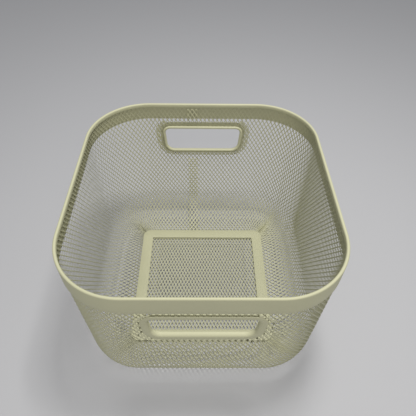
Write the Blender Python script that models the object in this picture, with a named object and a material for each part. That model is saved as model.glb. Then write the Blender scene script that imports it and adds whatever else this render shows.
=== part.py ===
"""A square storage basket of painted steel mesh.

Its walls are one sleeve of expanded mesh, turned in at the foot and clamped with the
floor mesh between two flat frames. A folded sheet band covers the top edge over a
wire, and a pressed ring lines the hand slot in the front wall and in the back wall.

Metres, +Z up. The basket stands on Z = 0 with the origin under its middle. X runs
along the walls that have the hand slots, and the front wall faces -Y.
Run it with blender --background --python part.py, or from the text editor.
"""
import math

import bmesh
import bpy
from mathutils import Vector

# The basket as a whole
RIM_WIDTH = 0.250  # along X, over the rim band
RIM_DEPTH = 0.260  # along Y, over the rim band
RIM_CORNER = 0.0635  # radius of the rim's corners in plan
HEIGHT = 0.180

# Stock and fits
SHEET = 0.0006  # gauge of the rim band, the floor frames and the slot rings
MESH = 0.0011  # thickness over the strands of the expanded mesh
CLEARANCE = 0.0003  # between pieces that lie on each other

# Rim band
BAND_DROP = 0.0215  # height of the band outside the wall
LIP_DROP = 0.0045  # height of the lip that the fold leaves inside

# Wall
FOOT_WIDTH = 0.234  # along X, where the wall starts to turn in
FOOT_DEPTH = 0.231  # along Y, the same
FOOT_CORNER = 0.054
FOOT_BEND = 0.013  # radius of the turn from wall to floor
SEAM_PLACE = 0.015  # the wall's seam, left of the middle of the back wall
SEAM_WIDTH = 0.0095
WALL_GAP_ROWS = 4  # rows of diamonds in the wall, far fewer than the real mesh has
WALL_STRAND = 0.005  # width of the metal between them

# Floor frames and floor mesh
FRAME_WIDTH = 0.1632
FRAME_DEPTH = 0.1626
FRAME_STRIP = 0.0133  # width of the flat strip
FRAME_CORNER = 0.010  # its outer corners
FRAME_INNER_CORNER = 0.001
FOOT_TUCK = 0.007  # how far the wall's foot reaches under the frame
FLOOR_TUCK = 0.004  # how far the floor mesh stops short of the frame's outer edge
STRAND = 0.0018  # width of a strand of the floor mesh
GAPS_ACROSS = 16
GAPS_ALONG = 8
PANEL_RISE = 0.0020  # the pressed-up middle of the floor mesh
PANEL_MARGIN = 0.0125  # from the frame's inner edge to that middle
NET_OVERLAP = 0.001  # the gaps start this far under the strip

# Hand slots
SLOT_TOP_WIDTH = 0.0935
SLOT_FOOT_WIDTH = 0.0870
SLOT_HEIGHT = 0.0305  # along the wall
SLOT_TOP_CORNER = 0.006
SLOT_FOOT_CORNER = 0.009
SLOT_BELOW_BAND = 0.0125  # from the band's lower edge to the slot's top
FLANGE_SIDE = 0.0073  # reach of the ring's flange beside the slot
FLANGE_BELOW = 0.008
FLANGE_TO_BAND = 0.0050  # what the flange leaves bare under the band
CROWN = 0.0014  # how far the flange stands out from the wall
FLANGE_EDGE = 0.0010  # width of the flange's edge, which dips to the wall
ROLL = 0.0034  # radius from the flange into the slot
CURL = 0.0012  # radius of the lip inside the basket
HEM = 0.0010  # thickness of the doubled mesh round the slot
HEM_SIDE = 0.0115
HEM_BELOW = 0.0145
HEM_TO_BAND = 0.0012

# Smoothness, in steps
RIM_STEPS = 10  # in each corner; the wall has one gap for two steps
SIDE_STEPS = 10  # along each straight side of the wall
FRAME_STEPS = 5
SLOT_STEPS = 5
FOLD_STEPS = 6
BEND_STEPS = 4
ROLL_STEPS = 4
CURL_STEPS = 6
WIRE_SIDES = 8
SHARP_ANGLE = 35  # degrees

# Sizes that follow from those above
HALF_SHEET = SHEET / 2
WIRE = MESH  # the rim wire fills the fold as the mesh does
FOLD = (2 * SHEET + 2 * CLEARANCE + MESH) / 2  # outer radius of the rim's fold
WALL_INSET = SHEET + CLEARANCE  # from the band's outside to the mesh
BAND_FOOT = HEIGHT - BAND_DROP
MESH_TOP = HEIGHT - SHEET - CLEARANCE - WIRE - CLEARANCE
FOOT_LEVEL = SHEET + CLEARANCE  # underside of the turned-in foot
BEND_TOP = FOOT_LEVEL + FOOT_BEND
FLOOR_LEVEL = FOOT_LEVEL + MESH + CLEARANCE
FRAME_LEVEL = FLOOR_LEVEL + MESH + CLEARANCE
WALL_TOP_Y = RIM_DEPTH / 2 - WALL_INSET
TAPER = math.atan2(WALL_TOP_Y - FOOT_DEPTH / 2, BAND_FOOT - BEND_TOP)
SLOT_DROP = SLOT_BELOW_BAND + SLOT_HEIGHT / 2  # along the wall, band to slot middle
LIP_OUT = -(MESH + CLEARANCE + HEM + CLEARANCE + HALF_SHEET)
CROWN_OUT = CROWN - HALF_SHEET
SLOT_ROLL = min(ROLL, CROWN_OUT - LIP_OUT)
FLANGE_ABOVE = SLOT_BELOW_BAND - FLANGE_TO_BAND
HEM_ABOVE = SLOT_BELOW_BAND - HEM_TO_BAND
ROLL_CLEAR = max(0, (SLOT_ROLL - HALF_SHEET) ** 2 - (SLOT_ROLL - CROWN_OUT) ** 2)
SLOT_CUT = HALF_SHEET + SLOT_ROLL - math.sqrt(ROLL_CLEAR) + CLEARANCE
SLOT_FLAT = SLOT_TOP_WIDTH / 2 + HEM_SIDE + 3 * CLEARANCE  # wall that must stay flat
WALL_CORNER = min(RIM_CORNER, RIM_WIDTH / 2 - SLOT_FLAT)
CUT_DEPTH = 10 * MESH  # a cutter's overrun on each side of the wall
WELD = CLEARANCE / 10  # points closer than this become one

# Paint, as linear colours
SAGE = (0.50, 0.50, 0.33, 1.0)
SAGE_DEEP = (0.46, 0.46, 0.31, 1.0)
SATIN = 0.45  # roughness


def rounded_outline(corners, steps):
    """An anticlockwise outline of (x, y, radius) corners, each turned into an arc."""
    points = []
    for index, (x, y, radius) in enumerate(corners):
        corner = Vector((x, y))
        after = corners[(index + 1) % len(corners)]
        to_last = (Vector(corners[index - 1][:2]) - corner).normalized()
        to_next = (Vector(after[:2]) - corner).normalized()
        half = to_last.angle(to_next) / 2
        centre = corner + (to_last + to_next).normalized() * radius / math.sin(half)
        first = corner + to_last * radius / math.tan(half) - centre
        start = math.atan2(first.y, first.x)
        for step in range(steps + 1):
            angle = start + step / steps * (math.pi - 2 * half)
            points.append((centre.x + radius * math.cos(angle), centre.y + radius * math.sin(angle)))
    return points


def rounded_rectangle(half_x, half_y, radius, steps):
    """An outline with four like corners, from the +X +Y corner."""
    signs = ((1, 1), (-1, 1), (-1, -1), (1, -1))
    return rounded_outline([(sx * half_x, sy * half_y, radius) for sx, sy in signs], steps)


def level_ring(half_x, half_y, radius, z, steps):
    """A rounded rectangle at one height."""
    return [Vector((x, y, z)) for x, y in rounded_rectangle(half_x, half_y, radius, steps)]


def skin(bm, rings, close=False):
    """Faces between rings that follow each other; gives the rings' vertices back."""
    loops = [[bm.verts.new(point) for point in ring] for ring in rings]
    pairs = list(zip(loops, loops[1:]))
    if close:
        pairs.append((loops[-1], loops[0]))
    for upper, lower in pairs:
        for index in range(len(upper)):
            after = (index + 1) % len(upper)
            bm.faces.new((upper[index], lower[index], lower[after], upper[after]))
    return loops


def paint(name, colour):
    """A material of its own for one piece."""
    material = bpy.data.materials.new(name + "_paint")
    material.use_nodes = True
    shader = material.node_tree.nodes["Principled BSDF"]
    shader.inputs["Base Color"].default_value = colour
    shader.inputs["Roughness"].default_value = SATIN
    shader.inputs["Metallic"].default_value = 0.0
    return material


def piece(name, bm, colour=SAGE):
    """A mesh object in the scene, painted and shaded smooth."""
    mesh = bpy.data.meshes.new(name)
    bm.to_mesh(mesh)
    bm.free()
    mesh.shade_smooth()
    mesh.set_sharp_from_angle(angle=math.radians(SHARP_ANGLE))
    mesh.materials.append(paint(name, colour))
    thing = bpy.data.objects.new(name, mesh)
    bpy.context.scene.collection.objects.link(thing)
    return thing


def thicken(thing, thickness, offset):
    """Sheet metal or mesh of one thickness: offset 0 is centred, -1 behind the faces."""
    wall = thing.modifiers.new("thickness", "SOLIDIFY")
    wall.thickness = thickness
    wall.offset = offset
    wall.use_even_offset = True
    wall.use_quality_normals = True


def bend_stations():
    """The wall's turn from upright to flat: (inset, height) shares of the bend."""
    angles = [step / BEND_STEPS * math.pi / 2 for step in range(BEND_STEPS + 1)]
    return [(1 - math.cos(angle), 1 - math.sin(angle)) for angle in angles]


def wall_stations():
    """Half width, half depth, corner radius and height of the wall, top to foot."""
    top_x = RIM_WIDTH / 2 - WALL_INSET
    stations = [
        (top_x, WALL_TOP_Y, WALL_CORNER - WALL_INSET, MESH_TOP),
        (top_x, WALL_TOP_Y, WALL_CORNER - WALL_INSET, BAND_FOOT),
    ]
    for inset, height in bend_stations():
        inward = FOOT_BEND * inset
        stations.append((
            FOOT_WIDTH / 2 - inward,
            FOOT_DEPTH / 2 - inward,
            FOOT_CORNER - inward,
            FOOT_LEVEL + FOOT_BEND * height,
        ))
    stations.append((
        FRAME_WIDTH / 2 - FOOT_TUCK,
        FRAME_DEPTH / 2 - FOOT_TUCK,
        max(FRAME_CORNER - FOOT_TUCK, FRAME_INNER_CORNER),
        FOOT_LEVEL,
    ))
    return stations


def slot_ring(side, below, above, out):
    """The slot's outline grown by a reach on each edge, at a height over the wall.

    It lies in the slot's own frame: X along the wall, Z up it and -Y out of it.
    """
    top = SLOT_TOP_WIDTH / 2 + side
    foot = SLOT_FOOT_WIDTH / 2 + side
    high = SLOT_HEIGHT / 2 + above
    low = -SLOT_HEIGHT / 2 - below
    top_corner = SLOT_TOP_CORNER + min(side, above)
    foot_corner = SLOT_FOOT_CORNER + min(side, below)
    corners = [
        (top, high, top_corner),
        (-top, high, top_corner),
        (-foot, low, foot_corner),
        (foot, low, foot_corner),
    ]
    return [Vector((x, -out, z)) for x, z in rounded_outline(corners, SLOT_STEPS)]


def even_slot_ring(reach, out):
    """The slot's outline grown alike on every edge."""
    return slot_ring(reach, reach, reach, out)


def slot_frame(name, front):
    """An empty on the wall's outside at the middle of a slot, tilted as the wall is."""
    frame = bpy.data.objects.new(name, None)
    bpy.context.scene.collection.objects.link(frame)
    out = WALL_TOP_Y - SLOT_DROP * math.sin(TAPER)
    frame.location = (0, -out if front else out, BAND_FOOT - SLOT_DROP * math.cos(TAPER))
    frame.rotation_euler = (TAPER, 0, 0 if front else math.pi)
    return frame


def wall_ring(half_x, half_y, radius, z):
    """A level ring whose straight sides are divided as its corners are."""
    corners = level_ring(half_x, half_y, radius, z, RIM_STEPS)
    ring = []
    for index, point in enumerate(corners):
        ring.append(point)
        if (index + 1) % (RIM_STEPS + 1) == 0:
            after = corners[(index + 1) % len(corners)]
            ring += [point.lerp(after, step / SIDE_STEPS) for step in range(1, SIDE_STEPS)]
    return ring


def lattice(bm, upper, lower, rows):
    """Diamonds between two rings of vertices, and the whole ones among them.

    Half of a diamond fills each notch along both rings.
    """
    around = len(upper)
    knots = {}
    for column in range(around):
        knots[column, 0] = upper[column]
        knots[column, 2 * rows] = lower[column]
        for row in range(1, 2 * rows):
            if (column + row) % 2 == 0:
                share = row / (2 * rows)
                knots[column, row] = bm.verts.new(upper[column].co.lerp(lower[column].co, share))
    whole = []
    for row in range(2 * rows + 1):
        for column in range(1 - row % 2, around, 2):
            left = knots[(column - 1) % around, row]
            right = knots[(column + 1) % around, row]
            below = knots[column, min(row + 1, 2 * rows)]
            above = knots[column, max(row - 1, 0)]
            face = bm.faces.new((left, below, right, above))
            if 0 < row < 2 * rows:
                whole.append(face)
    return whole


def clear_of_slot(face):
    """Whether a diamond of the wall leaves metal between itself and the slots."""
    slot_foot = SLOT_DROP + SLOT_HEIGHT / 2 + SLOT_CUT + WALL_STRAND / 2
    beside = min(abs(vert.co.x) for vert in face.verts) > SLOT_TOP_WIDTH / 2 + SLOT_CUT + WALL_STRAND / 2
    below = max(vert.co.z for vert in face.verts) < BAND_FOOT - slot_foot * math.cos(TAPER)
    return beside or below


def make_wall(frames):
    """The mesh sleeve with its turned-in foot, open at both hand slots."""
    bm = bmesh.new()
    rings = [wall_ring(*station) for station in wall_stations()]
    upper = skin(bm, rings[:2])[-1]
    lower = skin(bm, rings[2:])[0]
    gaps = [face for face in lattice(bm, upper, lower, WALL_GAP_ROWS) if clear_of_slot(face)]
    bm.normal_update()
    bmesh.ops.inset_individual(bm, faces=gaps, thickness=WALL_STRAND / 2, use_even_offset=True)
    bmesh.ops.delete(bm, geom=gaps, context="FACES_KEEP_BOUNDARY")
    wall = piece("wall_mesh", bm)
    thicken(wall, MESH, -1)
    for frame in frames:
        cutter_mesh = bmesh.new()
        skin(cutter_mesh, [even_slot_ring(SLOT_CUT, CUT_DEPTH), even_slot_ring(SLOT_CUT, -CUT_DEPTH)])
        bmesh.ops.holes_fill(cutter_mesh, edges=cutter_mesh.edges)
        bmesh.ops.recalc_face_normals(cutter_mesh, faces=cutter_mesh.faces)
        cutter = piece(frame.name + "_cutter", cutter_mesh)
        cutter.parent = frame
        cutter.hide_render = True
        cutter.display_type = "WIRE"
        cut = wall.modifiers.new("slot", "BOOLEAN")
        cut.operation = "DIFFERENCE"
        cut.object = cutter


def offset_line(line, distance):
    """A line of (out, up) points moved inwards by a distance, mitred at its bends."""
    moved = []
    for index, point in enumerate(line):
        before = line[max(index - 1, 0)]
        after = line[min(index + 1, len(line) - 1)]
        tangents = [(second - first).normalized() for first, second in ((before, point), (point, after))
                    if (second - first).length > 0]
        normals = [Vector((tangent.y, -tangent.x)) for tangent in tangents]
        mean = sum(normals, Vector((0, 0))).normalized()
        moved.append(point + mean * distance / mean.dot(normals[0]))
    return moved


def make_seam(name, line):
    """A strip of doubled mesh along the inside of the back wall."""
    bm = bmesh.new()
    inner = offset_line(line, MESH + CLEARANCE)
    edges = (SEAM_WIDTH / 2 - SEAM_PLACE, -SEAM_WIDTH / 2 - SEAM_PLACE)
    rows = [[bm.verts.new((x, out, up)) for x in edges] for out, up in inner]
    for upper, lower in zip(rows, rows[1:]):
        bm.faces.new((upper[0], lower[0], lower[1], upper[1]))
    strip = piece(name, bm)
    thicken(strip, MESH, -1)


def make_seams():
    """The wall's seam shows above the back slot, and below it down to the frame."""
    make_seam("seam_upper", [
        Vector((WALL_TOP_Y, HEIGHT - LIP_DROP - CLEARANCE)),
        Vector((WALL_TOP_Y, BAND_FOOT + CLEARANCE)),
    ])
    hem_foot = SLOT_DROP + SLOT_HEIGHT / 2 + HEM_BELOW + CLEARANCE
    line = [Vector((WALL_TOP_Y - hem_foot * math.sin(TAPER), BAND_FOOT - hem_foot * math.cos(TAPER)))]
    for inset, height in bend_stations():
        line.append(Vector((FOOT_DEPTH / 2 - FOOT_BEND * inset, FOOT_LEVEL + FOOT_BEND * height)))
    line.append(Vector((FRAME_DEPTH / 2 - FLOOR_TUCK + CLEARANCE, FOOT_LEVEL)))
    make_seam("seam_lower", line)


def rim_ring(inset, z):
    """The rim's outline, a distance inside the band's outer face."""
    return level_ring(RIM_WIDTH / 2 - inset, RIM_DEPTH / 2 - inset, WALL_CORNER - inset, z, RIM_STEPS)


def make_rim():
    """The folded band over the mesh's top edge, and the wire in its fold."""
    bm = bmesh.new()
    rings = [rim_ring(HALF_SHEET, BAND_FOOT)]
    middle = FOLD - HALF_SHEET
    for step in range(FOLD_STEPS + 1):
        angle = step / FOLD_STEPS * math.pi
        rings.append(rim_ring(FOLD - middle * math.cos(angle), HEIGHT - FOLD + middle * math.sin(angle)))
    rings.append(rim_ring(2 * FOLD - HALF_SHEET, HEIGHT - LIP_DROP))
    skin(bm, rings[::-1])
    thicken(piece("rim_band", bm), SHEET, 0)

    bm = bmesh.new()
    wire_z = HEIGHT - SHEET - CLEARANCE - WIRE / 2
    turns = [step / WIRE_SIDES * 2 * math.pi for step in range(WIRE_SIDES)]
    rings = [rim_ring(FOLD + WIRE / 2 * math.cos(turn), wire_z + WIRE / 2 * math.sin(turn)) for turn in turns]
    skin(bm, rings, close=True)
    bmesh.ops.recalc_face_normals(bm, faces=bm.faces)
    piece("rim_wire", bm)


def make_frame(name, underside):
    """A flat strip bent round the floor's edge."""
    bm = bmesh.new()
    half_x = FRAME_WIDTH / 2
    half_y = FRAME_DEPTH / 2
    skin(bm, [
        level_ring(half_x, half_y, FRAME_CORNER, underside, FRAME_STEPS),
        level_ring(half_x - FRAME_STRIP, half_y - FRAME_STRIP, FRAME_INNER_CORNER, underside, FRAME_STEPS),
    ])
    thicken(piece(name, bm), SHEET, -1)


def make_floor():
    """The floor mesh: a net of diamonds with a plain edge and a pressed-up middle."""
    bm = bmesh.new()
    half_x = FRAME_WIDTH / 2 - FRAME_STRIP + NET_OVERLAP
    half_y = FRAME_DEPTH / 2 - FRAME_STRIP + NET_OVERLAP
    columns = 2 * GAPS_ACROSS
    rows = 2 * GAPS_ALONG
    knots = {}
    for column in range(columns + 1):
        for row in range(rows + 1):
            if (column + row) % 2 == 0:
                x = half_x * (2 * column / columns - 1)
                y = half_y * (2 * row / rows - 1)
                knots[column, row] = bm.verts.new((x, y, FLOOR_LEVEL))
    diamonds = []
    for column in range(columns + 1):
        for row in range(rows + 1):
            if (column + row) % 2 == 0:
                continue
            around = ((column + 1, row), (column, row + 1), (column - 1, row), (column, row - 1))
            corners = [knots[place] for place in around if place in knots]
            face = bm.faces.new(corners)
            if len(corners) == 4:
                diamonds.append(face)
    margin = FRAME_STRIP - NET_OVERLAP - FLOOR_TUCK
    outline = [edge for edge in bm.edges if edge.is_boundary]
    border = bmesh.ops.extrude_edge_only(bm, edges=outline)["geom"]
    for vert in [item for item in border if isinstance(item, bmesh.types.BMVert)]:
        x, y = vert.co.xy
        if math.isclose(abs(x), half_x, abs_tol=WELD):
            vert.co.x += math.copysign(margin, x)
        if math.isclose(abs(y), half_y, abs_tol=WELD):
            vert.co.y += math.copysign(margin, y)
    for face in bm.faces:
        face.normal_update()
        if face.normal.z < 0:
            face.normal_flip()
    bmesh.ops.inset_individual(bm, faces=diamonds, thickness=STRAND / 2, use_even_offset=True)
    bmesh.ops.delete(bm, geom=diamonds, context="FACES_KEEP_BOUNDARY")
    rise_x = FRAME_WIDTH / 2 - FRAME_STRIP - PANEL_MARGIN
    rise_y = FRAME_DEPTH / 2 - FRAME_STRIP - PANEL_MARGIN
    for vert in bm.verts:
        if abs(vert.co.x) < rise_x and abs(vert.co.y) < rise_y:
            vert.co.z += PANEL_RISE
    thicken(piece("floor_mesh", bm, SAGE_DEEP), MESH, 1)


def ring_section():
    """The slot ring's section: reach beside, below and above the slot, and height."""
    rolled = HALF_SHEET + SLOT_ROLL
    edge = (FLANGE_SIDE - HALF_SHEET, FLANGE_BELOW - HALF_SHEET, FLANGE_ABOVE - HALF_SHEET)
    section = [(*edge, CLEARANCE + HALF_SHEET)]
    section.append((*[reach - FLANGE_EDGE for reach in edge], CROWN_OUT))
    for step in range(ROLL_STEPS + 1):
        angle = step / ROLL_STEPS * math.pi / 2
        reach = rolled - SLOT_ROLL * math.sin(angle)
        section.append((reach, reach, reach, CROWN_OUT - SLOT_ROLL * (1 - math.cos(angle))))
    for step in range(CURL_STEPS + 1):
        angle = step / CURL_STEPS * math.pi
        reach = HALF_SHEET + CURL * (1 - math.cos(angle))
        section.append((reach, reach, reach, LIP_OUT - CURL * math.sin(angle)))
    return section


def make_slot(side, frame):
    """The pressed ring that lines a slot, and the doubled mesh behind its flange."""
    bm = bmesh.new()
    skin(bm, [slot_ring(*point) for point in ring_section()])
    bmesh.ops.remove_doubles(bm, verts=bm.verts, dist=WELD)
    ring = piece(side + "_slot_ring", bm)
    ring.parent = frame
    thicken(ring, SHEET, 0)

    bm = bmesh.new()
    hem_out = -(MESH + CLEARANCE + HEM / 2)
    skin(bm, [slot_ring(HEM_SIDE, HEM_BELOW, HEM_ABOVE, hem_out), even_slot_ring(SLOT_CUT, hem_out)])
    hem = piece(side + "_slot_hem", bm, SAGE_DEEP)
    hem.parent = frame
    thicken(hem, HEM, 0)


def build():
    """The whole basket."""
    for thing in list(bpy.data.objects):
        bpy.data.objects.remove(thing)
    front = slot_frame("front_slot", True)
    back = slot_frame("back_slot", False)
    make_wall((front, back))
    make_seams()
    make_rim()
    make_frame("base_frame", 0)
    make_frame("floor_frame", FRAME_LEVEL)
    make_floor()
    make_slot("front", front)
    make_slot("back", back)


build()
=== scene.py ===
# %% [markdown]
# # A mesh storage basket of painted steel
# The basket is one sleeve of expanded steel mesh with a folded band round its top, a
# floor panel clamped in a flat frame, and two hand slots lined with pressed rings. All of
# it is powder coated in a pale sage green. This notebook builds each piece round the
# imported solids, in metres, and dresses it for a close look. The solids give the frame:
# their names, places and box. Their own meshes are coarse, so finer pieces stand for them.

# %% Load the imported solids
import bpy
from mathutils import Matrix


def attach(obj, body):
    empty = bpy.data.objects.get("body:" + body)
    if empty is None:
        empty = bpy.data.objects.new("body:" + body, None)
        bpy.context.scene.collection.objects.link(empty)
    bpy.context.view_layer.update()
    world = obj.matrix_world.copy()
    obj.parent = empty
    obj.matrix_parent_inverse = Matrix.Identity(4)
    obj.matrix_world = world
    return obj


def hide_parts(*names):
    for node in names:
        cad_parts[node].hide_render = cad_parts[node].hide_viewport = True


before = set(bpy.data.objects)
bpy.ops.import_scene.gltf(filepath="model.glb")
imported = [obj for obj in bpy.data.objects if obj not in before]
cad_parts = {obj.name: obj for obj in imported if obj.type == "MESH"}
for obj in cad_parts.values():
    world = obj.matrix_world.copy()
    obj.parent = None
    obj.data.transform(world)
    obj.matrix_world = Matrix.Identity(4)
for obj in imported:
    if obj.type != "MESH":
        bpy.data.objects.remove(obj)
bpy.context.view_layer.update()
print("solids:", ", ".join(sorted(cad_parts)))

# %% [markdown]
# Blender's operators shape the pieces, as a person would by hand. Its bmesh module reads
# the mesh in edit mode, so that faces can be picked by their place. Its noise is the same
# on each run, which keeps the small dents where they are.

# %% Modules
import functools
import math

import bmesh
import bpy
from mathutils import Matrix, Vector, noise

MM = 0.001  # one millimetre in scene units
TINY = MM / 200  # points closer than this are the same point

# %% [markdown]
# The camera comes first, because everything is judged through it. A pinhole camera was
# fitted to the rim, the floor frame and the band's lower edge. It stands in front of the
# basket, about half a metre away, and looks down into it. A tracked target could aim it,
# but it would lose the slight lean. So it is turned in three steps, as a head on a tripod
# is: a turn to the side, a dip, and the lean.

# %% Camera
CAMERA_PLACE = Vector((0.8, -283.6, 448.9)) * MM
CAMERA_TURN = 0.0182  # radians
CAMERA_DIP = 0.8290
CAMERA_LEAN = 0.0175
LENS = 35.16  # this and the sensor are given in millimetres, as Blender wants them
SENSOR = 36
NEAREST = 10 * MM  # what is closer than this isn't rendered


def tripod(turn, dip, lean):
    """The rotation of a camera that looks along +Y before it is turned."""
    across = Vector((math.cos(turn), -math.sin(turn), 0))
    level = Vector((math.sin(turn), math.cos(turn), 0))
    ahead = level * math.cos(dip) - Vector((0, 0, math.sin(dip)))
    up = across.cross(ahead)
    right = across * math.cos(lean) + up * math.sin(lean)
    top = up * math.cos(lean) - across * math.sin(lean)
    return Matrix((right, top, -ahead)).transposed().to_euler()


camera_data = bpy.data.cameras.new("camera")
camera_data.lens = LENS
camera_data.sensor_width = SENSOR
camera_data.clip_start = NEAREST
camera = bpy.data.objects.new("camera", camera_data)
camera.location = CAMERA_PLACE
camera.rotation_euler = tripod(CAMERA_TURN, CAMERA_DIP, CAMERA_LEAN)
bpy.context.scene.collection.objects.link(camera)
bpy.context.scene.camera = camera
bpy.context.scene.view_settings.view_transform = "Standard"
print("camera at", [round(value, 3) for value in camera.location])

# %% [markdown]
# Shader maths could be wired node by node, but it reads best as plain expressions. So one
# small class wraps an output of a node. Adding or multiplying two of them adds the Math
# node that does it, and its method node adds any other kind of node with its settings and
# inputs.


# %% Shader helper
class Wire:
    """One output of a shader node."""

    def __init__(self, tree, socket=None):
        self.tree = tree
        self.socket = socket

    def node(self, kind, settings=(), inputs=(), output=0):
        """Adds a node and returns one of its outputs."""
        made = self.tree.nodes.new(kind)
        for name, value in dict(settings).items():
            setattr(made, name, value)
        for name, value in dict(inputs).items():
            if isinstance(value, Wire):
                self.tree.links.new(value.socket, made.inputs[name])
            else:
                made.inputs[name].default_value = value
        return Wire(self.tree, made.outputs[output])

    def math(self, operation, first, second):
        return self.node("ShaderNodeMath", {"operation": operation}, {0: first, 1: second})

    def __add__(self, other):
        return self.math("ADD", self, other)

    def __mul__(self, other):
        return self.math("MULTIPLY", self, other)

    __radd__ = __add__
    __rmul__ = __mul__


# %% [markdown]
# The finish is a baked powder coat: satin, slightly uneven in gloss, with the faint
# pebbled skin that painters call orange peel. A painted image could give it, but it would
# need a flat layout of every strand. Two noises in object space need none: a wide one
# drifts the colour between two near shades, and a fine one gives gloss and bump.
# The net gets a slightly deeper shade, because a coat is thinner on narrow strands. The doubled net is
# painted lighter, as painted light: it makes the doubled places look bright and lifts the shade on the
# lap inside the wall.

# %% Powder coat
SAGE_LIGHT = (0.520, 0.515, 0.345, 1.0)
SAGE_DARK = (0.455, 0.450, 0.300, 1.0)
CLOUD_SCALE = 28  # features per metre in the colour
PEEL_SCALE = 1100  # features per metre in the skin
PEEL_DEPTH = 0.06 * MM
CLOUD_DETAIL = 4
PEEL_DETAIL = 2
CLOUD_SHARE = 0.7  # of the colour's drift; the skin gives the rest
ROUGHNESS = 0.44
ROUGHNESS_SPREAD = 0.16
SHINE = 0.45


def powder_coat(name, depth, gloss, peel):
    """Sage powder coat. depth darkens it, gloss lowers its roughness, peel is the bump."""
    material = bpy.data.materials.new(name)
    material.use_nodes = True
    tree = material.node_tree
    shader = tree.nodes["Principled BSDF"]
    start = Wire(tree)
    place = start.node("ShaderNodeTexCoord", output="Object")
    wide = {"Vector": place, "Scale": CLOUD_SCALE, "Detail": CLOUD_DETAIL}
    fine = {"Vector": place, "Scale": PEEL_SCALE, "Detail": PEEL_DETAIL}
    cloud = start.node("ShaderNodeTexNoise", inputs=wide)
    skin = start.node("ShaderNodeTexNoise", inputs=fine)
    light = [value * (1 - depth) for value in SAGE_LIGHT[:3]] + [1]
    dark = [value * (1 - depth) for value in SAGE_DARK[:3]] + [1]
    blend = cloud * CLOUD_SHARE + skin * (1 - CLOUD_SHARE)
    colour = start.node("ShaderNodeMix", {"data_type": "RGBA"}, {0: blend, 6: dark, 7: light}, 2)
    rough = skin * ROUGHNESS_SPREAD + (ROUGHNESS - gloss)
    bump = start.node("ShaderNodeBump", inputs={"Height": skin, "Distance": PEEL_DEPTH, "Strength": peel})
    tree.links.new(colour.socket, shader.inputs["Base Color"])
    tree.links.new(rough.socket, shader.inputs["Roughness"])
    tree.links.new(bump.socket, shader.inputs["Normal"])
    shader.inputs["Specular IOR Level"].default_value = SHINE
    return material


SHEET_COAT = powder_coat("sheet_coat", 0.0, -0.06, 0.5)
NET_COAT = powder_coat("net_coat", 0.04, 0.0, 0.3)
# painted light: the lap's coat is 16% lighter than the sheet's, so the doubled net looks lit and its
# shade inside the wall is lifted
PAINTED_LIGHT_LAP_COAT = powder_coat("lap_coat_painted_light", -0.16, 0.04, 0.3)
print("finishes:", SHEET_COAT.name, NET_COAT.name, PAINTED_LIGHT_LAP_COAT.name)

# %% [markdown]
# These are the basket's own sizes. They are those of the solids, but for the wall's foot.
# The spacing of the net's rows tells how the wall turns in there, and it turns in a rounder
# bend than the solid's. The net is measured on its outer face, and each layer keeps a small
# clearance from the next one.

# %% Sizes of the basket
RIM_WIDTH = 250 * MM
RIM_DEPTH = 260 * MM
RIM_CORNER = 63.5 * MM
HEIGHT = 180 * MM
SHEET = 0.6 * MM
MESH = 1.1 * MM
CLEARANCE = 0.3 * MM
BAND_DROP = 21.5 * MM
LIP_DROP = 4.5 * MM
TOP_GAP = 2.3 * MM  # from the net's top edge to the top of the fold
FOLD = 1.45 * MM  # outer radius of the fold
FOOT_WIDTH = 244.4 * MM
FOOT_DEPTH = 246.6 * MM
FOOT_CORNER = 59 * MM
FOOT_BEND = 37 * MM
FRAME_WIDTH = 163.2 * MM
FRAME_DEPTH = 162.6 * MM
FRAME_STRIP = 13.3 * MM
FRAME_CORNER = 10 * MM
FRAME_INNER_CORNER = 1 * MM
FOOT_TUCK = 10.4 * MM  # how far the wall's foot reaches in under the frame
TUCK_CORNER = 2 * MM
HALF_SHEET = SHEET / 2
BAND_FOOT = HEIGHT - BAND_DROP
MESH_TOP = HEIGHT - TOP_GAP
FOOT_LEVEL = SHEET + CLEARANCE
FLOOR_LEVEL = FOOT_LEVEL + MESH + CLEARANCE
FRAME_LEVEL = FLOOR_LEVEL + MESH + CLEARANCE
WALL_TOP_X = RIM_WIDTH / 2 - SHEET - CLEARANCE
WALL_TOP_Y = RIM_DEPTH / 2 - SHEET - CLEARANCE
WALL_TOP_CORNER = RIM_CORNER - SHEET - CLEARANCE
BEND_TOP = FOOT_LEVEL + FOOT_BEND
TAPER = math.atan2(WALL_TOP_Y - FOOT_DEPTH / 2, BAND_FOOT - BEND_TOP)
print("lean of the slotted walls:", round(math.degrees(TAPER), 1), "degrees")

# %% [markdown]
# A few habits of modelling by hand, put into words once: pick selects what passes a test
# in edit mode, plate makes a flat plate with rounded corners, and walk insets its cap step
# by step, which draws any section round the outline. A section could also be swept along
# a curve, but insets keep the corners concentric, as a press or a bender does.


# %% Modelling helpers
def edit(thing):
    """Opens one object in edit mode, with nothing else selected."""
    if bpy.context.mode != "OBJECT":
        bpy.ops.object.mode_set(mode="OBJECT")
    bpy.ops.object.select_all(action="DESELECT")
    thing.select_set(True)
    bpy.context.view_layer.objects.active = thing
    bpy.ops.object.mode_set(mode="EDIT")


def done():
    """Leaves edit mode."""
    bpy.ops.object.mode_set(mode="OBJECT")


def pick(kind, test):
    """Selects the verts, edges or faces that pass a test, and says how many did."""
    bpy.ops.mesh.select_mode(type={"verts": "VERT", "edges": "EDGE", "faces": "FACE"}[kind])
    bpy.ops.mesh.select_all(action="DESELECT")
    mesh = bpy.context.edit_object.data
    bm = bmesh.from_edit_mesh(mesh)
    chosen = [item for item in getattr(bm, kind) if test(item)]
    for item in chosen:
        item.select_set(True)
    bm.select_flush_mode()
    bmesh.update_edit_mesh(mesh)
    return len(chosen)


def add(primitive, name, **sizes):
    """Adds a primitive at the origin with nothing else selected."""
    bpy.ops.object.select_all(action="DESELECT")
    getattr(bpy.ops.mesh, f"primitive_{primitive}_add")(**sizes)
    thing = bpy.context.object
    thing.name = name
    return thing


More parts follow.
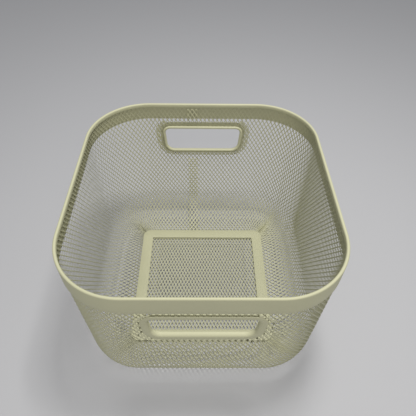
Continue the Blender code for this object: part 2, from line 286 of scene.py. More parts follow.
def plate(name, tops, feet, high, low, top_corner, foot_corner, level, steps):
    """A flat plate at one level: tops and feet are its half widths at high and at low."""
    thing = add("plane", name, size=1)
    edit(thing)
    bpy.ops.mesh.select_all(action="SELECT")
    bpy.ops.transform.resize(value=(2 * feet, high - low, 1), center_override=(0, 0, 0))
    bpy.ops.transform.translate(value=(0, (high + low) / 2, level))
    pick("verts", lambda vert: vert.co.y > (high + low) / 2)
    bpy.ops.transform.resize(value=(tops / feet, 1, 1), center_override=(0, high, level))
    lean = math.atan2(tops - feet, high - low)
    for corner, side in ((top_corner, 1), (foot_corner, -1)):
        slide = corner * math.tan((math.pi / 2 + side * lean) / 2)
        edge_y = high if side > 0 else low
        pick("verts", lambda vert: abs(vert.co.y - edge_y) < TINY)
        bpy.ops.mesh.bevel(offset=slide, segments=steps, affect="VERTICES", profile=0.5)
    pick("faces", lambda face: True)
    return thing


def walk(steps):
    """Insets the selected cap by (inward, upward) steps; a step straight up extrudes it."""
    for inward, upward in steps:
        if inward == 0:
            bpy.ops.mesh.extrude_region_move(TRANSFORM_OT_translate={"value": (0, 0, upward)})
        else:
            bpy.ops.mesh.inset(thickness=inward, depth=upward, use_even_offset=True)


SHARP_ANGLE = math.radians(60)
EDGE_SEGMENTS = 2


def sheet_metal(thing, offset, edge):
    """Gives a bent surface its gauge and breaks the sharp edges, as paint does."""
    gauge = thing.modifiers.new("gauge", "SOLIDIFY")
    gauge.thickness = SHEET
    gauge.offset = offset
    gauge.use_even_offset = True
    gauge.use_quality_normals = True
    bpy.ops.object.modifier_apply(modifier="gauge")
    soft = thing.modifiers.new("soft edge", "BEVEL")
    soft.width = edge
    soft.segments = EDGE_SEGMENTS
    soft.limit_method = "ANGLE"
    soft.angle_limit = SHARP_ANGLE
    bpy.ops.object.modifier_apply(modifier="soft edge")


SHEET_SMOOTH = math.radians(40)
NET_SMOOTH = math.radians(60)


def hand_in(thing, coat, slot, *nodes, smooth=SHEET_SMOOTH):
    """Paints a finished piece, shades it, hangs it under the root body, and hides the solids it stands
    for.
    """
    bpy.ops.object.select_all(action="DESELECT")
    thing.select_set(True)
    bpy.context.view_layer.objects.active = thing
    thing.data.materials.clear()
    thing.data.materials.append(coat)
    bpy.ops.object.shade_smooth_by_angle(angle=smooth)
    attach(thing, "root")
    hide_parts(*nodes)
    triangles = sum(len(face.vertices) - 2 for face in thing.data.polygons)
    print(f"{thing.name}: {triangles} triangles, for {', '.join(nodes)}")


# %% [markdown]
# The floor is a wide plain ground that keeps the basket's shadow. The light is that of a
# room: a small soft lamp overhead, a wider warm one from the front, and an even pale
# surround. A net is hard to read in even light alone, because each strand is then as
# bright as the ground behind it. The lamp overhead is small, so it gives the strands a lit
# and a shaded side.

# %% Floor and light
FLOOR_COLOUR = (0.47, 0.472, 0.492, 1.0)
FLOOR_ROUGHNESS = 0.8
FLOOR_SIZE = 12
OVERHEAD = {"place": (0.12, 0.04, 0.95), "size": 0.18, "power": 5.3, "colour": (1.0, 0.99, 0.96)}
FRONT = {"place": (0.15, -1.1, 1.1), "size": 0.6, "power": 6.0, "colour": (1.0, 0.96, 0.9)}
ROOM_COLOUR = (0.98, 0.99, 1.0, 1.0)
ROOM_STRENGTH = 0.42


def stage_floor():
    """A large ground under the basket."""
    ground = add("plane", "ground", size=FLOOR_SIZE)
    material = bpy.data.materials.new("ground")
    material.use_nodes = True
    shader = material.node_tree.nodes["Principled BSDF"]
    shader.inputs["Base Color"].default_value = FLOOR_COLOUR
    shader.inputs["Roughness"].default_value = FLOOR_ROUGHNESS
    ground.data.materials.append(material)


def soft_lamp(name, place, size, power, colour):
    """A square area lamp that faces the basket."""
    data = bpy.data.lights.new(name, "AREA")
    data.size = size
    data.energy = power
    data.color = colour
    lamp = bpy.data.objects.new(name, data)
    lamp.location = place
    aim = Vector((0, 0, HEIGHT / 2)) - Vector(place)
    lamp.rotation_euler = aim.to_track_quat("-Z", "Y").to_euler()
    bpy.context.scene.collection.objects.link(lamp)


stage_floor()
soft_lamp("overhead", **OVERHEAD)
soft_lamp("front", **FRONT)
room = bpy.data.worlds.new("room")
room.use_nodes = True
room.node_tree.nodes["Background"].inputs["Color"].default_value = ROOM_COLOUR
room.node_tree.nodes["Background"].inputs["Strength"].default_value = ROOM_STRENGTH
bpy.context.scene.world = room

# %% [markdown]
# The rim band is a strip of sheet folded over the top edge of the net: 21.5 mm high
# outside, round over a wire, and a 4.5 mm lip inside. Its section is walked round the
# outline: straight up, over the fold in small insets, and down again. Only the middle of
# the sheet is drawn, and a Solidify modifier gives it its gauge on both sides.

# %% Rim band
RIM_STEPS = 32
FOLD_STEPS = 10
BAND_LEVELS = 3
RIM_EDGE = 0.2 * MM


def half_circle(radius, side, steps):
    """Up and over (side 1) or down and under (side -1), as (inward, upward) steps."""
    turns = [step / steps * math.pi for step in range(steps + 1)]
    return [(radius * (math.cos(a) - math.cos(b)), side * radius * (math.sin(b) - math.sin(a)))
            for a, b in zip(turns, turns[1:])]


def make_rim():
    """The folded band, open below on both sides."""
    half_x = RIM_WIDTH / 2 - HALF_SHEET
    half_y = RIM_DEPTH / 2 - HALF_SHEET
    corner = RIM_CORNER - HALF_SHEET
    rim = plate("rim", half_x, half_x, half_y, -half_y, corner, corner, BAND_FOOT, RIM_STEPS)
    rise = HEIGHT - FOLD - BAND_FOOT
    fold = half_circle(FOLD - HALF_SHEET, 1, FOLD_STEPS)
    walk([(0, rise / BAND_LEVELS)] * BAND_LEVELS + fold + [(0, FOLD - LIP_DROP)])
    bpy.ops.mesh.delete(type="ONLY_FACE")
    pick("faces", lambda face: len(face.verts) > 4)
    bpy.ops.mesh.delete(type="ONLY_FACE")
    pick("faces", lambda face: True)
    bpy.ops.mesh.normals_make_consistent(inside=False)
    done()
    sheet_metal(rim, 0, RIM_EDGE)
    return rim


rim = make_rim()
hand_in(rim, SHEET_COAT, "rim_paint", "rim_band")
print("rim box:", [round(value / MM, 1) for value in rim.dimensions])

# %% [markdown]
# The floor frame is a flat strip that clamps the floor panel and the turned-in foot of
# the wall, and a second strip lies below them. An inset of one outline would keep its
# corners concentric, but the outer corners are round and the inner ones nearly sharp. So
# each strip is bridged between two outlines.

# %% Floor frames
FRAME_STEPS = 10
FRAME_EDGE = 0.15 * MM


def make_frame(name, level):
    """A flat ring of sheet whose underside lies at a level."""
    half_x = FRAME_WIDTH / 2
    half_y = FRAME_DEPTH / 2
    inner_x = half_x - FRAME_STRIP
    inner_y = half_y - FRAME_STRIP
    hole = plate(name + "_hole", inner_x, inner_x, inner_y, -inner_y,
                 FRAME_INNER_CORNER, FRAME_INNER_CORNER, level, FRAME_STEPS)
    done()
    strip = plate(name, half_x, half_x, half_y, -half_y, FRAME_CORNER, FRAME_CORNER, level, FRAME_STEPS)
    done()
    hole.select_set(True)
    bpy.ops.object.join()
    edit(strip)
    pick("faces", lambda face: True)
    bpy.ops.mesh.delete(type="ONLY_FACE")
    pick("edges", lambda edge: True)
    bpy.ops.mesh.bridge_edge_loops()
    pick("faces", lambda face: True)
    bpy.ops.mesh.normals_make_consistent(inside=False)
    done()
    if strip.data.polygons[0].normal.z < 0:
        strip.data.flip_normals()
    sheet_metal(strip, 1, FRAME_EDGE)
    return strip


upper_frame = make_frame("upper_frame", FRAME_LEVEL)
hand_in(upper_frame, SHEET_COAT, "frame_paint", "floor_frame")
lower_frame = make_frame("lower_frame", 0)
hand_in(lower_frame, SHEET_COAT, "frame_paint", "base_frame")

# %% [markdown]
# Expanded mesh is made from one sheet: rows of short cuts, then a pull that opens each
# cut into a diamond. Nothing is woven, and the strands stay joined at every knot. The
# pull also turns the strands on edge, so they stand like the blades of a louvre, and the
# net looks open from one side and closed from the other. One diamond could be modelled
# and copied, but a whole grid keeps the strands joined: it is poked into triangles, and
# the grid's own edges are dissolved, which leaves diamonds. Each diamond is inset to leave
# its strands, its middle is deleted, and the knots are lifted above a mirrored copy, so a
# strand is a flat lens in section.

# %% Flat net
NET_WIDE = 5.0296 * MM  # knot to knot, the short way
NET_TALL = 8.2 * MM  # knot to knot, the long way
STRAND = 0.53 * MM  # half of a strand's width
RIDGE = 0.22 * MM  # half of its thickness in the middle
LOUVRE = 0.48 * MM  # how far its edges are turned out and in
QUARTER_CELL = 0.25


def from_knot(value, pitch):
    """A coordinate's distance from the nearest column or row of knots."""
    return value - round(value / (pitch / 2)) * pitch / 2


def is_knot(vert, wide, tall):
    return abs(from_knot(vert.co.x, wide)) < TINY and abs(from_knot(vert.co.y, tall)) < TINY


def flat_net(name, first_column, columns, first_row, rows, wide, tall, wrap=False, strand=STRAND):
    """A flat net of diamonds, columns x rows, whose grid starts at a column and a row.

    With wrap, it has no selvage at its sides, and its last column fits its first.
    """
    net = add("grid", name, x_subdivisions=columns, y_subdivisions=rows, size=1)
    edit(net)
    bpy.ops.mesh.select_all(action="SELECT")
    bpy.ops.transform.resize(value=(columns * wide, rows * tall, 1), center_override=(0, 0, 0))
    middle = ((first_column + columns / 2) * wide, (first_row + rows / 2) * tall, 0)
    bpy.ops.transform.translate(value=middle)
    bpy.ops.mesh.poke()

    def squared(edge):
        one, other = (vert.co for vert in edge.verts)
        level = abs(one.x - other.x) < TINY or abs(one.y - other.y) < TINY
        return level and not edge.is_boundary

    pick("edges", squared)
    bpy.ops.mesh.dissolve_edges(use_verts=False)
    if wrap:
        left = (first_column + 1 - QUARTER_CELL) * wide
        right = (first_column + columns - QUARTER_CELL) * wide
        pick("faces", lambda face: not left < face.calc_center_median().x < right)
        bpy.ops.mesh.delete(type="FACE")
    pick("faces", lambda face: True)
    bpy.ops.mesh.inset(thickness=strand, use_individual=True, use_even_offset=True)
    gaps = pick("faces", lambda face: not any(is_knot(vert, wide, tall) for vert in face.verts))
    bpy.ops.mesh.delete(type="FACE")
    bottom = first_row * tall + TINY
    top = (first_row + rows) * tall - TINY
    left = -math.inf if wrap else first_column * wide + TINY
    right = math.inf if wrap else (first_column + columns) * wide - TINY
    pick("verts", lambda vert: is_knot(vert, wide, tall)
         and left < vert.co.x < right and bottom < vert.co.y < top)
    bpy.ops.transform.translate(value=(0, 0, RIDGE))
    bpy.ops.mesh.select_all(action="SELECT")
    bpy.ops.mesh.duplicate()
    bpy.ops.transform.resize(value=(1, 1, -1), center_override=(0, 0, 0))
    bpy.ops.mesh.flip_normals()
    bpy.ops.mesh.select_all(action="SELECT")
    bpy.ops.mesh.remove_doubles(threshold=TINY)
    for side in (1, -1):
        pick("verts", lambda vert: from_knot(vert.co.x, wide) * side > TINY
             and abs(from_knot(vert.co.y, tall)) < TINY)
        bpy.ops.transform.translate(value=(0, 0, -side * LOUVRE))
    done()
    print(f"{name}: {gaps} gaps in {columns} x {rows} cells")
    return net


# %% [markdown]
# The net is cut for the hand slots while it is still flat, as a blank is. A Boolean could
# cut it after forming, but it is slow on thin strands and leaves slivers. Here what lies
# inside the outline is deleted, and the strands that cross it end on it.


# %% Cutting a net
def outline_of(thing):
    """The corners of a plate's one face, in order, as (x, y) points."""
    return [Vector(thing.data.vertices[index].co.xy) for index in thing.data.polygons[0].vertices]


def within(outline, point):
    """Whether a point lies inside a convex outline that runs anticlockwise."""
    if not (min(p.x for p in outline) < point.x < max(p.x for p in outline)):
        return False
    if not (min(p.y for p in outline) < point.y < max(p.y for p in outline)):
        return False
    return all((b - a).cross(point - a) > 0 for a, b in zip(outline, outline[1:] + outline[:1]))


def nearest_on(outline, point):
    """The point of an outline that is nearest to a point."""
    found = []
    for a, b in zip(outline, outline[1:] + outline[:1]):
        share = max(0, min(1, (point - a).dot(b - a) / (b - a).length_squared))
        found.append(a + (b - a) * share)
    return min(found, key=lambda spot: (spot - point).length)


def trim(net, outline, drop_inside=True):
    """Cuts a flat net along an outline, and drops what lies on one side of it."""
    edit(net)

    def dropped(vert):
        return within(outline, vert.co.xy) == drop_inside

    pick("faces", lambda face: all(dropped(vert) for vert in face.verts))
    bpy.ops.mesh.delete(type="FACE")
    pick("verts", dropped)
    bm = bmesh.from_edit_mesh(net.data)
    for vert in [vert for vert in bm.verts if vert.select]:
        vert.co = (*nearest_on(outline, vert.co.xy), 0)
    bmesh.update_edit_mesh(net.data)
    bpy.ops.mesh.remove_doubles(threshold=TINY)
    done()


def clean(net):
    """Takes off slivers, and fins without thickness, from their open edges inwards."""
    edit(net)
    bpy.ops.mesh.select_all(action="SELECT")
    bpy.ops.mesh.dissolve_degenerate(threshold=TINY)
    while pick("faces", lambda face: any(edge.is_boundary for edge in face.edges)):
        bpy.ops.mesh.delete(type="FACE")
    bpy.ops.mesh.select_all(action="SELECT")
    bpy.ops.mesh.delete_loose()
    done()


# %% [markdown]
# Forming bends the flat blank round the basket. A shrinkwrap or a lattice could do it,
# but neither would keep the rows and columns where the real blank has them. So each point
# is placed by its column along the wall, its row down the wall and its height over the
# sheet. The section comes first: down the wall the sheet runs straight under the band,
# leans in to the foot, turns through a quarter circle and lies flat under the frame.

# %% The wall's section
BAND_REACH = MESH_TOP - BAND_FOOT
LEAN_REACH = math.hypot(WALL_TOP_Y - FOOT_DEPTH / 2, BAND_FOOT - BEND_TOP)
BEND_REACH = FOOT_BEND * math.pi / 2
TUCK_REACH = 15.4 * MM


def between(first, second, share):
    return [a + (b - a) * share for a, b in zip(first, second)]


def wall_section(down):
    """Half width, half depth, corner radius and height of the wall, some way down it."""
    top = (WALL_TOP_X, WALL_TOP_Y, WALL_TOP_CORNER)
    foot = (FOOT_WIDTH / 2, FOOT_DEPTH / 2, FOOT_CORNER)
    flat = tuple(value - FOOT_BEND for value in foot)
    tuck = (FRAME_WIDTH / 2 - FOOT_TUCK, FRAME_DEPTH / 2 - FOOT_TUCK, TUCK_CORNER)
    if down <= BAND_REACH:
        return (*top, MESH_TOP - down)
    down -= BAND_REACH
    if down <= LEAN_REACH:
        share = down / LEAN_REACH
        return (*between(top, foot, share), BAND_FOOT + (BEND_TOP - BAND_FOOT) * share)
    down -= LEAN_REACH
    if down <= BEND_REACH:
        turn = down / FOOT_BEND
        inward = FOOT_BEND * (1 - math.cos(turn))
        return (*[value - inward for value in foot], BEND_TOP - FOOT_BEND * math.sin(turn))
    down -= BEND_REACH
    return (*between(flat, tuck, min(down / TUCK_REACH, 1)), FOOT_LEVEL)


def half_side(half, corner):
    """Along the outline from a wall's middle to the middle of the corner."""
    return half - corner + corner * math.pi / 4


TOP_ALONG_X = half_side(WALL_TOP_X, WALL_TOP_CORNER)
TOP_ALONG_Y = half_side(WALL_TOP_Y, WALL_TOP_CORNER)
QUARTER = TOP_ALONG_X + TOP_ALONG_Y
print("net round the rim:", round(4 * QUARTER / MM, 1), "mm")

# %% [markdown]
# There is far less room along the foot than along the rim, and a press can't take metal
# away. The columns could all be pushed together evenly, but then the straight walls would
# fan out. On the real basket those run down undisturbed, and only the columns of the
# corners are pushed together and close up. So a corner's columns are gathered there by a
# power of their way along it.

# %% Places on the wall
FREE_SIDE = 50 * MM  # each way from a wall's middle, the columns stay as they are
LOCAL_STEP = 0.05 * MM  # to the points that a place's directions are measured from
DECIMALS = 7  # of a metre; places nearer than that share one result


def gathered(way, before, after):
    """Where a column lies once its corner is gathered, and how much it is narrowed."""
    if way <= FREE_SIDE:
        return way, 1
    share = min((way - FREE_SIDE) / (before - FREE_SIDE), 1)
    power = (before - FREE_SIDE) / (after - FREE_SIDE)
    place = FREE_SIDE + (after - FREE_SIDE) * (1 - (1 - share) ** power)
    return place, (1 - share) ** max(power - 1, 0)


def wall_point(along, down):
    """A place on the wall's outer face, from the middle of the back wall to the left."""
    half_x, half_y, corner, height = wall_section(down)
    quarter, way = divmod(along, QUARTER)
    quarter = int(quarter) % 4
    if quarter in (1, 3):
        way = QUARTER - way
    reach_x = half_side(half_x, corner)
    reach_y = half_side(half_y, corner)
    if way <= TOP_ALONG_X:
        way, narrowed = gathered(way, TOP_ALONG_X, reach_x)
    else:
        back, narrowed = gathered(QUARTER - way, TOP_ALONG_Y, reach_y)
        way = reach_x + reach_y - back
    arc_start = half_x - corner
    turn = (way - arc_start) / corner
    if turn <= 0:
        x, y = way, half_y
    elif turn >= math.pi / 2:
        x, y = half_x, half_y - corner - (way - arc_start - corner * math.pi / 2)
    else:
        x, y = arc_start + corner * math.sin(turn), half_y - corner + corner * math.cos(turn)
    side_x = -1 if quarter in (0, 1) else 1
    side_y = 1 if quarter in (0, 3) else -1
    return Vector((side_x * x, side_y * y, height)), narrowed


@functools.lru_cache(maxsize=None)
def wall_place(along, down):
    """The point, the way along, the way out and the narrowing at a place on the wall."""
    point, narrowed = wall_point(along, down)
    before = wall_point(along - LOCAL_STEP, down)[0]
    after = wall_point(along + LOCAL_STEP, down)[0]
    upper = wall_point(along, down - LOCAL_STEP)[0]
    lower = wall_point(along, down + LOCAL_STEP)[0]
    forward = (after - before).normalized()
    outward = (lower - upper).cross(forward).normalized()
    return point, forward, outward, narrowed


BEND_END = BAND_REACH + LEAN_REACH + BEND_REACH
halfway = (FREE_SIDE + TOP_ALONG_X) / 2
print("share of its width that a corner's column keeps:", round(wall_point(halfway, BEND_END)[1], 2))

# %% [markdown]
# A net that is pushed together doesn't stay even. It waves a little, pleats where it is
# narrow, and crumples by the corners of the frame. These dents could be sculpted, but
# Blender's noise does it in one line each, and gives the same dents on each run. Each
# place then carries its strands with it: along the wall, and out from it.

# %% Forming the net
NARROWEST = 0.12 * MM  # half of the narrowest that a gathered column gets
ROOM_SHARE = 0.9  # of a gathered column's width, left to its strands
WAVE = 0.35 * MM
WAVE_LENGTH = 45 * MM
PLEAT = 0.9 * MM
PLEAT_WIDTH = 3 * MM
PLEAT_LENGTH = 12 * MM
WAVING_FROM = 75 * MM  # down the sheet, as WAVING_TO and CRUMPLE_DROP are
WAVING_TO = 175 * MM
FADE_IN = 30 * MM
FADE_OUT = 20 * MM
CRUMPLE = 5 * MM
CRUMPLE_DROP = 187 * MM
CRUMPLE_REACH = 11 * MM
CRUMPLE_WIDTH = 4 * MM
CRUMPLE_LENGTH = 5 * MM


def uneven(x, y, point, narrowed):
    """How far the wall stands out or in from its even shape at a place."""
    down = -y
    waving = max(0, min(1, (down - WAVING_FROM) / FADE_IN, (WAVING_TO - down) / FADE_OUT))
    pleat = noise.noise(Vector((x / PLEAT_WIDTH, y / PLEAT_LENGTH, 0)))
    crumpled = max(0, 1 - abs(down - CRUMPLE_DROP) / CRUMPLE_REACH)
    crumple = abs(noise.noise(Vector((x / CRUMPLE_WIDTH, y / CRUMPLE_LENGTH, 0))))
    return (WAVE * waving * noise.noise(point / WAVE_LENGTH)
            + PLEAT * (1 - narrowed) ** 2 * waving * pleat
            - CRUMPLE * (1 - narrowed) * crumpled * crumple)


def on_wall(x, y, z, layer=0):
    """Forms a point of a flat blank onto the wall. layer is how far inside it lies."""
    aside = from_knot(x, NET_WIDE)
    point, forward, outward, narrowed = wall_place(round(x - aside, DECIMALS), round(-y, DECIMALS))
    room = max(ROOM_SHARE * narrowed * NET_WIDE / 2, NARROWEST)
    aside = max(-room, min(room, aside))
    lift = uneven(x, y, point, narrowed)
    return point + forward * aside + outward * (z + lift - MESH / 2 - layer)


def form(net, place):
    """Moves every point of a flat net to its place."""
    for vert in net.data.vertices:
        vert.co = place(*vert.co)


front_foot = on_wall(2 * QUARTER, -BEND_END, 0)
print("end of the front wall's bend:", [round(value / MM, 1) for value in front_foot])

# %% [markdown]
# The hand slot's outline is a rounded trapezoid, a little wider at the top. Everything
# round a slot follows it at some reach: the hole in the net, the ring's roll and flange,
# and the edge of the doubled net. It is drawn each time from the same sizes, instead of
# scaled from one drawing, because scaling would change the width of each margin.

# %% Slot outline
SLOT_TOP_WIDTH = 93.5 * MM
SLOT_FOOT_WIDTH = 87 * MM
SLOT_HEIGHT = 30.5 * MM
SLOT_TOP_CORNER = 6 * MM
SLOT_FOOT_CORNER = 9 * MM
SLOT_BELOW_BAND = 12.5 * MM
SLOT_DROP = SLOT_BELOW_BAND + SLOT_HEIGHT / 2
SLOT_ASIDE = 1.8 * MM  # the front slot sits a little right of the middle
SLOT_CUT = 1.9 * MM  # the reach of the hole in the net
SLOT_STEPS = 10
FLANGE_SIDE = 7.3 * MM
FLANGE_BELOW = 8.0 * MM
FLANGE_ABOVE = 7.5 * MM


def slot_plate(name, side, below, above, level=0):
    """A plate in the slot's outline, grown by a reach beside, below and above it."""
    return plate(name, SLOT_TOP_WIDTH / 2 + side, SLOT_FOOT_WIDTH / 2 + side,
                 SLOT_HEIGHT / 2 + above, -SLOT_HEIGHT / 2 - below,
                 SLOT_TOP_CORNER + min(side, above), SLOT_FOOT_CORNER + min(side, below),
                 level, SLOT_STEPS)


def slot_outline(side, below, above, along):
    """The grown outline in the flat blank, round the slot whose middle is that far along."""
    shape = slot_plate("pattern", side, below, above)
    done()
    points = [point + Vector((along, -BAND_REACH - SLOT_DROP)) for point in outline_of(shape)]
    bpy.data.objects.remove(shape)
    area = sum(a.cross(b) for a, b in zip(points, points[1:] + points[:1]))
    return points if area > 0 else points[::-1]


print("middle of a slot, down the sheet:", round((BAND_REACH + SLOT_DROP) / MM, 1), "mm")

# %% [markdown]
# The wall is one sleeve, bent from one long blank and closed along its seam. It is 180
# diamonds long, so that its last column meets its first, and 26 rows high. The blank could
# be made as four walls, but then the net would break at each corner, and the real one
# doesn't.

# %% Wall sleeve
WALL_COLUMNS = 180
WALL_ROWS = 26
FRONT_MIDDLE = 2 * QUARTER
BACK_MIDDLE = 4 * QUARTER
SEAM_PLACE = 12.6 * MM
SEAM_WELD = 0.02 * MM


def make_sleeve():
    """The wall: a flat blank, cut for the slots, formed, and closed along its seam.

    The back slot lies near the seam, so it is cut at both ends of the blank.
    """
    first = round(SEAM_PLACE / NET_WIDE) - 1
    sleeve = flat_net("sleeve", first, WALL_COLUMNS + 1, -WALL_ROWS, WALL_ROWS,
                      NET_WIDE, NET_TALL, wrap=True)
    for middle in (0, FRONT_MIDDLE + SLOT_ASIDE, BACK_MIDDLE):
        trim(sleeve, slot_outline(SLOT_CUT, SLOT_CUT, SLOT_CUT, middle))
    form(sleeve, on_wall)
    edit(sleeve)
    bpy.ops.mesh.select_all(action="SELECT")
    bpy.ops.mesh.remove_doubles(threshold=SEAM_WELD)
    done()
    clean(sleeve)
    return sleeve


sleeve = make_sleeve()
hand_in(sleeve, NET_COAT, "mesh_paint", "wall_mesh", smooth=NET_SMOOTH)

# %% [markdown]
# Round each slot's flange a second layer of net lies on the wall, half a diamond out of step, so its
# strands cover the gaps below and the place looks dense. Its coat is painted lighter, as painted light
# that makes the doubled place look bright. Thicker strands in the wall itself would look alike from far
# off, but not where the layers end.

# %% Doubled net
HEM_SIDE = 12.4 * MM
HEM_BELOW = 16.5 * MM
HEM_ABOVE = 9.5 * MM
HEM_LAYER = -1.4 * MM  # outside the wall, level with the flange
HEM_GAP = 0.1 * MM  # between its edge and the flange
HEM_STRAND = 0.95 * MM
BACK_HEM_BELOW = 11.8 * MM
BACK_HEM_STRAND = 0.75 * MM
HEM_COLUMNS = 26
HEM_ROWS = 8
HEM_FIRST_ROW = -10


def make_hem(name, net_middle, slot_middle, below, strand):
    """The doubled net round a slot, half a diamond out of step with the wall's net."""
    first = round(net_middle / NET_WIDE) - HEM_COLUMNS // 2
    hem = flat_net(name, first, HEM_COLUMNS, HEM_FIRST_ROW, HEM_ROWS, NET_WIDE, NET_TALL, strand=strand)
    shift = Vector((NET_WIDE / 2, 0, 0))
    for vert in hem.data.vertices:
        vert.co += shift
    trim(hem, slot_outline(HEM_SIDE, below, HEM_ABOVE, slot_middle), drop_inside=False)
    reach = (FLANGE_SIDE + HEM_GAP, FLANGE_BELOW + HEM_GAP, FLANGE_ABOVE + HEM_GAP)
    trim(hem, slot_outline(*reach, slot_middle))
    clean(hem)
    form(hem, lambda x, y, z: on_wall(x, y, z, HEM_LAYER))
    return hem


front_hem = make_hem("front_hem", FRONT_MIDDLE, FRONT_MIDDLE + SLOT_ASIDE, HEM_BELOW, HEM_STRAND)
hand_in(front_hem, PAINTED_LIGHT_LAP_COAT, "mesh_paint", "front_slot_hem", smooth=NET_SMOOTH)
back_hem = make_hem("back_hem", BACK_MIDDLE, BACK_MIDDLE, BACK_HEM_BELOW, BACK_HEM_STRAND)
hand_in(back_hem, PAINTED_LIGHT_LAP_COAT, "mesh_paint", "back_slot_hem", smooth=NET_SMOOTH)

# %% [markdown]
# At the seam the two ends of the sleeve lap over each other in step, so their gaps stay open and only the
# strands look heavier. The sleeve could be made longer, to lap over itself, but the lap has its own name
# and coat, which is painted lighter as painted light against the shade inside the wall. So it is a strip
# of its own inside the wall, above and below the back slot.

# %% Seam strips
SEAM_LAYER = 1.4 * MM
SEAM_WIDTH = 12.4 * MM
SEAM_COLUMNS = 6
SPARE_ROWS = 1  # of net at each end, before it is cut to length
SEAM_TOP = 4 * MM  # all four measured down the sheet from its top edge
SEAM_SLOT_TOP = 19.8 * MM
SEAM_SLOT_FOOT = 77.5 * MM
SEAM_FOOT = 205.5 * MM
SEAM_CORNER = 0.2 * MM
SEAM_STEPS = 2


def make_seam(name, high, low):
    """A narrow strip of net inside the wall, between two distances down it."""
    first = round(SEAM_PLACE / NET_WIDE) - SEAM_COLUMNS // 2
    first_row = -math.ceil(low / NET_TALL) - SPARE_ROWS
    rows = math.ceil((low - high) / NET_TALL) + 2 * SPARE_ROWS + 1
    strip = flat_net(name, first, SEAM_COLUMNS, first_row, rows, NET_WIDE, NET_TALL)
    pattern = plate("pattern", SEAM_WIDTH / 2, SEAM_WIDTH / 2, -high, -low,
                    SEAM_CORNER, SEAM_CORNER, 0, SEAM_STEPS)
    done()
    edge = [point + Vector((SEAM_PLACE, 0)) for point in outline_of(pattern)]
    bpy.data.objects.remove(pattern)
    trim(strip, edge, drop_inside=False)
    clean(strip)
    form(strip, lambda x, y, z: on_wall(x, y, z, SEAM_LAYER))
    return strip


seam_above = make_seam("seam_above", SEAM_TOP, SEAM_SLOT_TOP)
hand_in(seam_above, PAINTED_LIGHT_LAP_COAT, "mesh_paint", "seam_upper", smooth=NET_SMOOTH)
seam_below = make_seam("seam_below", SEAM_SLOT_FOOT, SEAM_FOOT)
hand_in(seam_below, PAINTED_LIGHT_LAP_COAT, "mesh_paint", "seam_lower", smooth=NET_SMOOTH)

# %% [markdown]
# The floor panel is a flat piece of the same net, pulled a little narrower. Its middle
# is pressed up by 2 mm, which stiffens it and leaves a narrow slope inside the frame. A
# proportional move could lift it, but a smooth step gives the slope one even width.

# %% Floor panel
FLOOR_WIDE = 4.1 * MM
FLOOR_TALL = 8.7 * MM
FLOOR_COLUMNS = 38
FLOOR_ROWS = 18
PANEL_RISE = 2 * MM
PANEL_MARGIN = 12.5 * MM
PANEL_SLOPE = 3.5 * MM


def on_floor(x, y, z):
    """Lifts the middle of the panel by a smooth step along its four sides."""
    inside_x = FRAME_WIDTH / 2 - FRAME_STRIP - PANEL_MARGIN + PANEL_SLOPE / 2 - abs(x)
    inside_y = FRAME_DEPTH / 2 - FRAME_STRIP - PANEL_MARGIN + PANEL_SLOPE / 2 - abs(y)
    share = max(0, min(1, min(inside_x, inside_y) / PANEL_SLOPE))
    rise = PANEL_RISE * share * share * (3 - 2 * share)
    return Vector((x, y, FLOOR_LEVEL + MESH / 2 + z + rise))


floor_panel = flat_net("floor_panel", -FLOOR_COLUMNS // 2, FLOOR_COLUMNS,
                       -FLOOR_ROWS // 2, FLOOR_ROWS, FLOOR_WIDE, FLOOR_TALL)
clean(floor_panel)
form(floor_panel, on_floor)
hand_in(floor_panel, NET_COAT, "mesh_paint", "floor_mesh", smooth=NET_SMOOTH)

# %% [markdown]
# The slot ring is pressed from sheet. Outside it has a flat flange that stands a little
# proud, then it rolls through the slot and ends in a curled lip inside. A curve with a
# bevel profile could make it, but the flange has a margin of its own on each side. So its
# outlines are walked inwards. The section goes in and out again, and an inset only goes
# in, so flange, roll and lip are three parts. Flange and roll are bridged, and roll and
# lip meet in the throat of the slot. Heights are measured out from the wall's face.

# %% Slot rings
CROWN_OUT = 1.1 * MM
FLANGE_EDGE = 1.0 * MM
FLANGE_EDGE_SHARES = ((0.3, 0.6), (0.7, 0.4))  # of its width and of its rise, step by step
ROLL = 3.0 * MM
CURL = 1.4 * MM
LIP_OUT = -2.2 * MM
ROLL_STEPS = 8
CURL_STEPS = 12
RING_WELD = 0.05 * MM  # where the roll meets the lip
RING_EDGE = 0.15 * MM


def quarter_circle(radius, steps):
    """Flat inwards and then round to straight down, as (inward, upward) steps."""
    turns = [step / steps * math.pi / 2 for step in range(steps + 1)]
    return [(radius * (math.sin(b) - math.sin(a)), radius * (math.cos(b) - math.cos(a)))
            for a, b in zip(turns, turns[1:])]


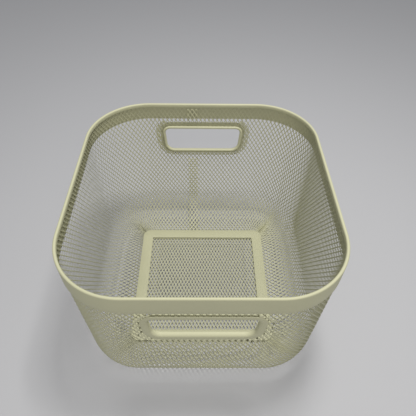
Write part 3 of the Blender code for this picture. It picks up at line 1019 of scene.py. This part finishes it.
def make_ring():
    """The front ring, modelled lying flat with its flange upwards."""
    edge = (FLANGE_SIDE - HALF_SHEET, FLANGE_BELOW - HALF_SHEET, FLANGE_ABOVE - HALF_SHEET)
    flange = slot_plate("front_ring", *edge, CLEARANCE + HALF_SHEET)
    rise = CROWN_OUT - CLEARANCE - HALF_SHEET
    walk([(FLANGE_EDGE * inward, rise * upward) for inward, upward in FLANGE_EDGE_SHARES])
    bpy.ops.mesh.delete(type="ONLY_FACE")
    done()
    reach = HALF_SHEET + ROLL
    roll = slot_plate("roll", reach, reach, reach, CROWN_OUT)
    walk(quarter_circle(ROLL, ROLL_STEPS))
    bpy.ops.mesh.delete(type="ONLY_FACE")
    done()
    curled = HALF_SHEET + 2 * CURL
    lip = slot_plate("lip", curled, curled, curled, LIP_OUT)
    walk(half_circle(CURL, -1, CURL_STEPS) + [(0, CROWN_OUT - ROLL - LIP_OUT)])
    bpy.ops.mesh.delete(type="ONLY_FACE")
    done()
    for thing in (roll, lip):
        thing.select_set(True)
    flange.select_set(True)
    bpy.context.view_layer.objects.active = flange
    bpy.ops.object.join()
    edit(flange)
    pick("edges", lambda edge: edge.is_boundary
         and all(abs(vert.co.z - CROWN_OUT) < TINY for vert in edge.verts))
    bpy.ops.mesh.bridge_edge_loops()
    bpy.ops.mesh.select_all(action="SELECT")
    bpy.ops.mesh.remove_doubles(threshold=RING_WELD)
    bpy.ops.mesh.normals_make_consistent(inside=False)
    done()
    sheet_metal(flange, 0, RING_EDGE)
    return flange


def set_in_wall(thing, aside, turn):
    """Turns a part that lies flat so that it faces out of the front wall, and then round."""
    out = WALL_TOP_Y - SLOT_DROP * math.sin(TAPER)
    drop = Vector((aside, -out, BAND_FOOT - SLOT_DROP * math.cos(TAPER)))
    bpy.ops.object.select_all(action="DESELECT")
    thing.select_set(True)
    bpy.context.view_layer.objects.active = thing
    thing.rotation_euler = (math.pi / 2 + TAPER, 0, 0)
    thing.location = drop
    bpy.ops.object.transform_apply(location=True, rotation=True, scale=False)
    thing.rotation_euler = (0, 0, turn)
    bpy.ops.object.transform_apply(location=False, rotation=True, scale=False)


front_ring = make_ring()
bpy.ops.object.duplicate()
back_ring = bpy.context.object
back_ring.name = "back_ring"
set_in_wall(front_ring, SLOT_ASIDE, 0)
hand_in(front_ring, SHEET_COAT, "ring_paint", "front_slot_ring")
set_in_wall(back_ring, 0, math.pi)
hand_in(back_ring, SHEET_COAT, "ring_paint", "back_slot_ring")

# %% [markdown]
# The wire in the fold of the rim is what the sheet is bent over. It could be swept again
# along a curve, but it is hidden, and its plain solid is right as it is. It gets the same
# coat as the rest, since it was painted with it.

# %% Rim wire
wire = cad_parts["rim_wire"]
wire.data.materials.clear()
wire.data.materials.append(SHEET_COAT)
print("kept solid:", wire.name)
